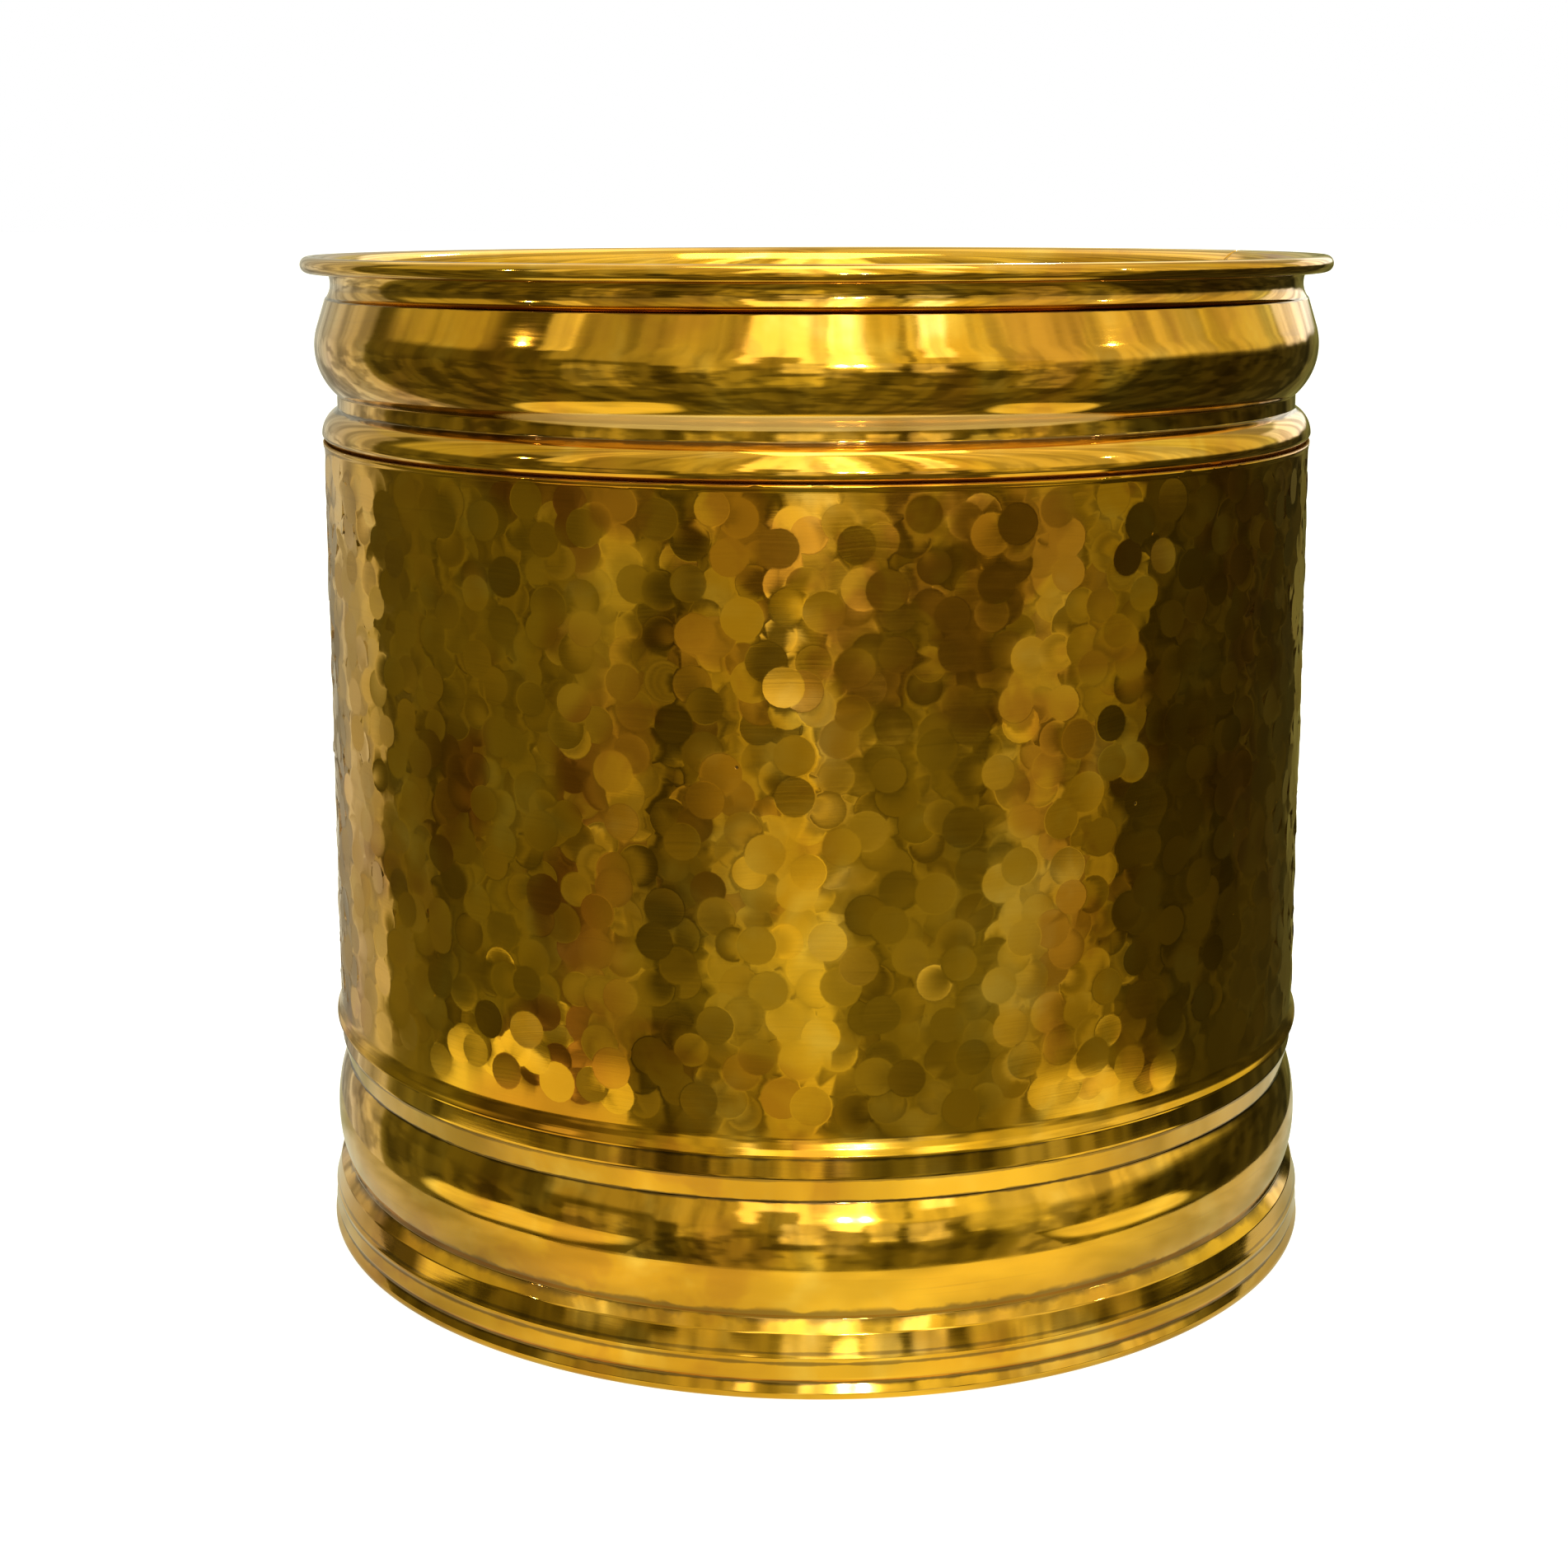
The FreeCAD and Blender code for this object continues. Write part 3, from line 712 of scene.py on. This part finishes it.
    height = n.math("MULTIPLY", fine_lines, lines)
    height = n.math("ADD", height, n.math("MULTIPLY", broad_lines, lines * 1.6))
    height = n.math("ADD", height, n.math("MULTIPLY", grain, 0.35))
    height = n.math("SUBTRACT", height, n.math("MULTIPLY", pit, 14.0))
    bump = n.add("ShaderNodeBump", {"Strength": 1.0, "Distance": 0.0000035, "Height": height})
    shader = n.add(
        "ShaderNodeBsdfPrincipled",
        {"Base Color": colour, "Metallic": metallic, "Roughness": rough, "Normal": bump.outputs[0]},
    )
    if painted_light_and_lacquer:
        shader.inputs["Coat Weight"].default_value = LACQUER
        shader.inputs["Coat Roughness"].default_value = 0.04
    n.add("ShaderNodeOutputMaterial", {"Surface": shader.outputs[0]})
    return material


def dull_metal(name, light, dark, shine, scale):
    """Unpolished metal in two tones, for wire and solder."""
    material = bpy.data.materials.new(name)
    material.use_nodes = True
    n = Nodes(material.node_tree)
    place = n.add("ShaderNodeTexCoord").outputs["Object"]
    clouds = n.noise(place, scale, 4.0, 0.6, 0.5)
    grain = n.noise(place, scale * 14, 3.0, 0.6)
    colour = n.mix(n.span(clouds, 0.35, 0.65), dark, light)
    rough = n.span(clouds, 0.3, 0.7, shine * 1.3, shine * 0.8)
    bump = n.add("ShaderNodeBump", {"Strength": 0.6, "Distance": 0.00004, "Height": grain})
    shader = n.add(
        "ShaderNodeBsdfPrincipled",
        {"Base Color": colour, "Metallic": 1.0, "Roughness": rough, "Normal": bump.outputs[0]},
    )
    n.add("ShaderNodeOutputMaterial", {"Surface": shader.outputs[0]})
    return material


polished = brass("polished_brass", 0.055, 0.7, 0.22, 0.25, painted_light_and_lacquer=True)
hammered = brass("hammered_brass", 0.075, 0.6, 0.18, 0.70, strikes=True)
plate = brass("plate_brass", 0.22, 2.5, 0.70, 0.35, dulled=0.85)
braze = brass("brazed_joint", 0.28, 0.4, 0.60, 0.60)
steel = dull_metal("steel_wire", (0.40, 0.39, 0.37, 1.0), (0.17, 0.15, 0.13, 1.0), 0.38, 60.0)
solder = dull_metal("solder", (0.50, 0.50, 0.49, 1.0), (0.26, 0.25, 0.23, 1.0), 0.42, 110.0)


# ---------------------------------------------------------------- pieces


DENT_DEPTH, DENT_WIDTH = 0.28, 0.45


def collar_shift(azimuth, r, z):
    """The collar's unevenness, and the dent where the rim's two ends meet."""
    hold = smooth_step(z, 240, 250) * (1 - 0.7 * smooth_step(z, 284, 290))
    wave = 0.20 * ripple(azimuth, z * 1.2, 42.0, 21.0) + 0.06 * ripple(azimuth, z, 15.0, 5.0)
    bend = (azimuth - SEAM_AZIMUTH + math.pi) % (2 * math.pi) - math.pi
    seam = math.exp(-((bend * RIM / DENT_WIDTH) ** 2)) * smooth_step(z, 286.5, 289)
    pull = -DENT_DEPTH * seam
    sideways = 0.6 * pull if r > RIM else -0.6 * pull
    return (hold * wave + sideways, pull if z > 290 else 0.0)


def base_shift(azimuth, r, z):
    """The base band's unevenness."""
    hold = smooth_step(z, 2.5, 8) * (1 - smooth_step(z, 52, 60))
    wave = 0.17 * ripple(azimuth, z * 1.1, 38.0, 41.0) + 0.05 * ripple(azimuth, z, 13.0, 15.0)
    return (hold * wave, 0.0)


SEAM_STEPS = (-1.4, -0.9, -0.55, -0.3, -0.12, 0.12, 0.3, 0.55, 0.9, 1.4)
turned(
    "collar_ring",
    closed_section(collar_line()),
    even_azimuths(440, SEAM_STEPS),
    collar_shift,
    "polished_brass",
    polished,
    "collar",
)
turned(
    "base_ring",
    closed_section(base_line()),
    even_azimuths(480),
    base_shift,
    "polished_brass",
    polished,
    "base_band",
)
make_drum(hammered)

for node, material in {
    "drum_seam": braze,
    "rim_wire": steel,
    "foot_wire": steel,
    "bottom_plate": plate,
    "collar_solder": solder,
    "base_solder": solder,
    "bottom_solder": solder,
}.items():
    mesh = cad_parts[node].data
    mesh.materials.clear()
    mesh.materials.append(material)


# ---------------------------------------------------------------- stage, light and camera


FLOOR_REACH = 40.0


def make_floor():
    """A pale floor that the brass doesn't mirror."""
    material = bpy.data.materials.new("pale_floor")
    material.use_nodes = True
    n = Nodes(material.node_tree)
    shader = n.add(
        "ShaderNodeBsdfPrincipled",
        {
            "Base Color": grey(0.5),
            "Roughness": 0.9,
            "Specular IOR Level": 0.1,
            "Emission Color": grey(1.0),
            "Emission Strength": 0.86,
        },
    )
    n.add("ShaderNodeOutputMaterial", {"Surface": shader.outputs[0]})
    mesh = bpy.data.meshes.new("floor")
    corners = [(-1, -1), (1, -1), (1, 1), (-1, 1)]
    mesh.from_pydata([(x * FLOOR_REACH, y * FLOOR_REACH, 0) for x, y in corners], [], [(0, 1, 2, 3)])
    mesh.materials.append(material)
    floor = bpy.data.objects.new("floor", mesh)
    bpy.context.scene.collection.objects.link(floor)
    floor.visible_glossy = False


# The room that the brass mirrors, as patches: azimuths from and to, elevations from and to, brightness,
# how warm its light is, and the softness of its edge. Angles are in degrees, with azimuth 0 in front and 90
# to the right. Later patches cover earlier ones.
ROOM = (
    # dim walls
    (-125, -34, -60, 34, 0.13, 1.0, 4.0),
    (-62, -34, 7, 44, 0.42, 0.8, 2.0),
    (76, 148, -60, 2, 0.045, 1.0, 3.0),
    (148, 180, -60, 2, 0.16, 1.0, 4.0),
    (-50, 42, -32, 5, 0.20, 0.9, 3.0),
    (-180, -120, -42, 24, 0.50, 0.3, 1.5),
    (-112, -78, 14, 52, 0.50, 0.9, 3.0),
    (38, 100, 5, 48, 0.90, 0.6, 2.5),
    (98, 128, 4, 60, 0.75, 0.9, 2.0),
    (40, 120, 47, 76, 1.15, 0.4, 4.0),
    # doorways and furniture low down, in front
    (-57, -43, -27, 3, 0.40, 0.8, 1.0),
    (-36, -27, -22, 3, 0.11, 1.0, 0.8),
    (-24, -15, -28, 2, 0.34, 0.9, 0.8),
    (-13, 1, -28, -11.5, 0.62, 0.9, 1.0),
    (0, 8, -13, 9, 0.42, 0.5, 1.0),
    (13, 22, -24, 4, 0.12, 1.0, 0.8),
    (22, 30, -14, 5, 0.24, 0.8, 0.8),
    (30, 39, -25, 4, 0.13, 1.0, 0.8),
    (44, 58, -29, 3, 0.40, 0.7, 1.0),
    (61, 68, -18, 2, 0.26, 0.9, 0.8),
    # windows
    (-36, -16, 4, 52, 0.62, 0.8, 1.5),
    (-17, 12, 8, 64, 1.8, 0.35, 0.8),
    (-14, -4, 0, 17, 0.40, 0.9, 1.0),
    (12, 39, 8, 60, 1.0, 0.85, 0.8),
    (19, 21, 10, 60, 0.45, 0.9, 0.5),
    (24, 31, 16, 74, 2.6, 0.1, 1.0),
    (2, 9, 4, 62, 3.2, 0.15, 0.8),
    (-30, -18, -5, 5, 0.60, 0.8, 1.0),
    (-8, 1, -6, 8, 0.95, 0.4, 0.8),
    (10, 17, -5, 8, 1.0, 0.5, 0.8),
    (20, 29, -6, 7, 0.9, 0.3, 0.8),
    (33, 52, -4, 8, 0.75, 0.8, 1.0),
    (-66, -58, 18, 60, 1.1, 0.6, 1.0),
    (128, 162, 2, 19, 1.4, 0.2, 1.5),
    (152, 178, 22, 58, 1.6, 0.4, 1.5),
    (-172, -140, 30, 66, 1.3, 0.4, 1.5),
)

# The room behind the patches: place from straight down to straight up, brightness and how warm.
ROOM_LEVELS = (
    (0.0, 0.20, 0.8),
    (0.30, 0.15, 1.0),
    (0.47, 0.22, 1.0),
    (0.56, 0.50, 0.7),
    (0.75, 0.60, 0.6),
    (1.0, 1.0, 0.4),
)


def light_of(value, warm):
    return (value, value * (1 - 0.06 * warm), value * (1 - 0.75 * warm), 1.0)


DEGREES = 180 / math.pi


def azimuth_of(n, x, y):
    """The azimuth in degrees: 0 in front, 90 to the right."""
    return n.math("MULTIPLY", n.math("ARCTAN2", x, n.math("MULTIPLY", y, -1.0)), DEGREES)


def make_world():
    """White to the camera. To everything else, the room."""
    world = bpy.data.worlds.new("studio")
    bpy.context.scene.world = world
    world.use_nodes = True
    n = Nodes(world.node_tree)
    direction = n.add("ShaderNodeTexCoord").outputs["Generated"]
    parts = n.add("ShaderNodeSeparateXYZ", {"Vector": direction})
    x, y, z = (parts.outputs[k] for k in range(3))
    elevation = n.math("MULTIPLY", n.math("ARCSINE", z), DEGREES)
    azimuth = azimuth_of(n, x, y)
    sway = n.math("SUBTRACT", n.noise(direction, 7.0, 2.0), 0.5)
    tilted = n.math("MULTIPLY_ADD", sway, 5.0, azimuth)
    raised = n.math("MULTIPLY_ADD", sway, 4.0, elevation)
    stops = [(place, light_of(value, warm)) for place, value, warm in ROOM_LEVELS]
    room = n.ramp(n.math("MULTIPLY_ADD", elevation, 1 / 180, 0.5), stops)
    for left, right, low, high, value, warm, soft in ROOM:
        inside = n.span(tilted, left - soft, left + soft)
        if right < 180:
            inside = n.math("MULTIPLY", inside, n.span(tilted, right + soft, right - soft))
        inside = n.math("MULTIPLY", inside, n.span(raised, low - soft, low + soft))
        inside = n.math("MULTIPLY", inside, n.span(raised, high + soft, high - soft))
        room = n.mix(inside, room, light_of(value, warm))
    # upright streaks everywhere, and small things low down
    flattened = n.math("MULTIPLY", elevation, 0.08)
    columns = n.add("ShaderNodeCombineXYZ", {"X": azimuth, "Y": flattened}).outputs[0]
    streaks = n.span(n.noise(columns, 0.16, 3.0, 0.6), 0.38, 0.60, 0.68, 1.22)
    room = n.mix(1.0, room, streaks, "MULTIPLY")
    things = n.span(n.noise(direction, 8.0, 2.0, 0.5), 0.42, 0.56, 0.66, 1.30)
    lower = n.span(elevation, 6.0, -2.0)
    room = n.mix(lower, room, n.mix(1.0, room, things, "MULTIPLY"))
    background = n.add("ShaderNodeBackground", {"Color": room, "Strength": 1.0})
    white = n.add("ShaderNodeBackground", {"Color": grey(1.0), "Strength": 1.0})
    seen = n.add("ShaderNodeLightPath").outputs["Is Camera Ray"]
    shown = n.add("ShaderNodeMixShader", {0: seen, 1: background.outputs[0], 2: white.outputs[0]})
    n.add("ShaderNodeOutputWorld", {"Surface": shown.outputs[0]})


# The lit surface round the foot: a ring close to it, and two soft pools of light further out. Each has the
# azimuth of its middle and half its spread, in degrees, and its middle's distance from the axis and half
# its depth, in metres.
TABLE_RING = (0, 180, 0.1195, 0.0995)
POOLS = ((-53, 24, 0.296, 0.070), (53, 16, 0.289, 0.060))
RING_END = 0.221  # between the ring and the pools


def make_table():
    """The lit surface as the brass mirrors it, a little under the floor. Only the brass sees it."""
    material = bpy.data.materials.new("table_light")
    material.use_nodes = True
    n = Nodes(material.node_tree)
    place = n.add("ShaderNodeTexCoord").outputs["Object"]
    parts = n.add("ShaderNodeSeparateXYZ", {"Vector": place})
    x, y = parts.outputs[0], parts.outputs[1]
    distance = n.from_axis(x, y)
    azimuth = azimuth_of(n, x, y)
    clouds = n.span(n.noise(place, 14.0, 3.0), 0.35, 0.65)
    sides = n.mix(clouds, light_of(0.42, 0.6), light_of(0.66, 0.4))
    front = n.mix(clouds, light_of(0.90, 0.8), light_of(1.25, 0.8))
    ring = n.mix(n.span(y, -0.10, -0.17), sides, front)
    pooled = light_of(0.14, 1.0)
    for middle, spread, away, depth in POOLS:
        aside = n.reach(azimuth, middle, spread, 3.0)
        beyond = n.reach(distance, away, depth, 3.0)
        pooled = n.mix(n.span(n.math("ADD", aside, beyond), 0.98, 0.50), pooled, front)
    seen = n.mix(n.math("GREATER_THAN", distance, RING_END), ring, pooled)
    glow = n.add("ShaderNodeEmission", {"Color": seen, "Strength": 1.0})
    n.add("ShaderNodeOutputMaterial", {"Surface": glow.outputs[0]})
    mesh = bpy.data.meshes.new("table_light")
    vertices, faces = [], []
    for middle, spread, away, depth in (TABLE_RING, *POOLS):
        first, count = len(vertices), max(2, round(spread / 2))
        for i in range(count + 1):
            t = math.radians(middle + spread * (2 * i / count - 1))
            vertices += [(r * math.sin(t), -r * math.cos(t), 0) for r in (away - depth, away + depth)]
        for start in range(first, first + 2 * count, 2):
            faces.append((start, start + 1, start + 3, start + 2))
    mesh.from_pydata(vertices, [], faces)
    mesh.materials.append(material)
    table = bpy.data.objects.new("table_light", mesh)
    bpy.context.scene.collection.objects.link(table)
    table.location.z = -0.0004
    table.visible_camera = False
    table.visible_diffuse = False
    table.visible_shadow = False


LIGHT_COLOUR = (1.0, 0.95, 0.86)
LIGHTS = (  # name, azimuth, elevation, distance, width, height, power
    ("lamp", 5, 6, 1.7, 0.03, 0.07, 3),
    ("second_lamp", 9, 6, 1.7, 0.03, 0.07, 3),
    ("left_lamp", -68, 23, 1.9, 0.03, 0.04, 1.6),
    ("right_lamp", 67, 23, 1.9, 0.03, 0.04, 1.6),
    ("rear_lamp", 165, 40, 1.9, 0.10, 0.10, 4),
    ("overhead", 20, 80, 1.8, 1.0, 1.0, 14),
)


def make_light(name, azimuth, elevation, distance, width, height, power):
    """A soft rectangular light that faces the pot. Azimuth 0 is in front, 90 to the right."""
    light = bpy.data.lights.new(name, "AREA")
    light.shape = "RECTANGLE"
    light.size, light.size_y = width, height
    light.energy = power
    light.color = LIGHT_COLOUR
    a, e = math.radians(azimuth), math.radians(elevation)
    heading = Vector((math.sin(a) * math.cos(e), -math.cos(a) * math.cos(e), math.sin(e)))
    shown = bpy.data.objects.new(name, light)
    shown.location = Vector((0, 0, 0.2)) + heading * distance
    shown.rotation_euler = heading.to_track_quat("Z", "Y").to_euler()
    shown.visible_camera = False
    bpy.context.scene.collection.objects.link(shown)


def make_camera():
    """A camera just above the rim's height, whose view is shifted down."""
    camera = bpy.data.cameras.new("camera")
    camera.lens = 56.63
    camera.sensor_width = 36.0
    camera.shift_y = -0.105
    camera.clip_start = 0.01
    shown = bpy.data.objects.new("camera", camera)
    shown.location = (-0.00937, -0.7492, 0.3044)
    shown.rotation_euler = (math.radians(80.892), math.radians(0.10), 0.0)
    bpy.context.scene.collection.objects.link(shown)
    bpy.context.scene.camera = shown


make_floor()
make_world()
make_table()
for light_settings in LIGHTS:
    make_light(*light_settings)
make_camera()
bpy.context.scene.view_settings.view_transform = "Standard"
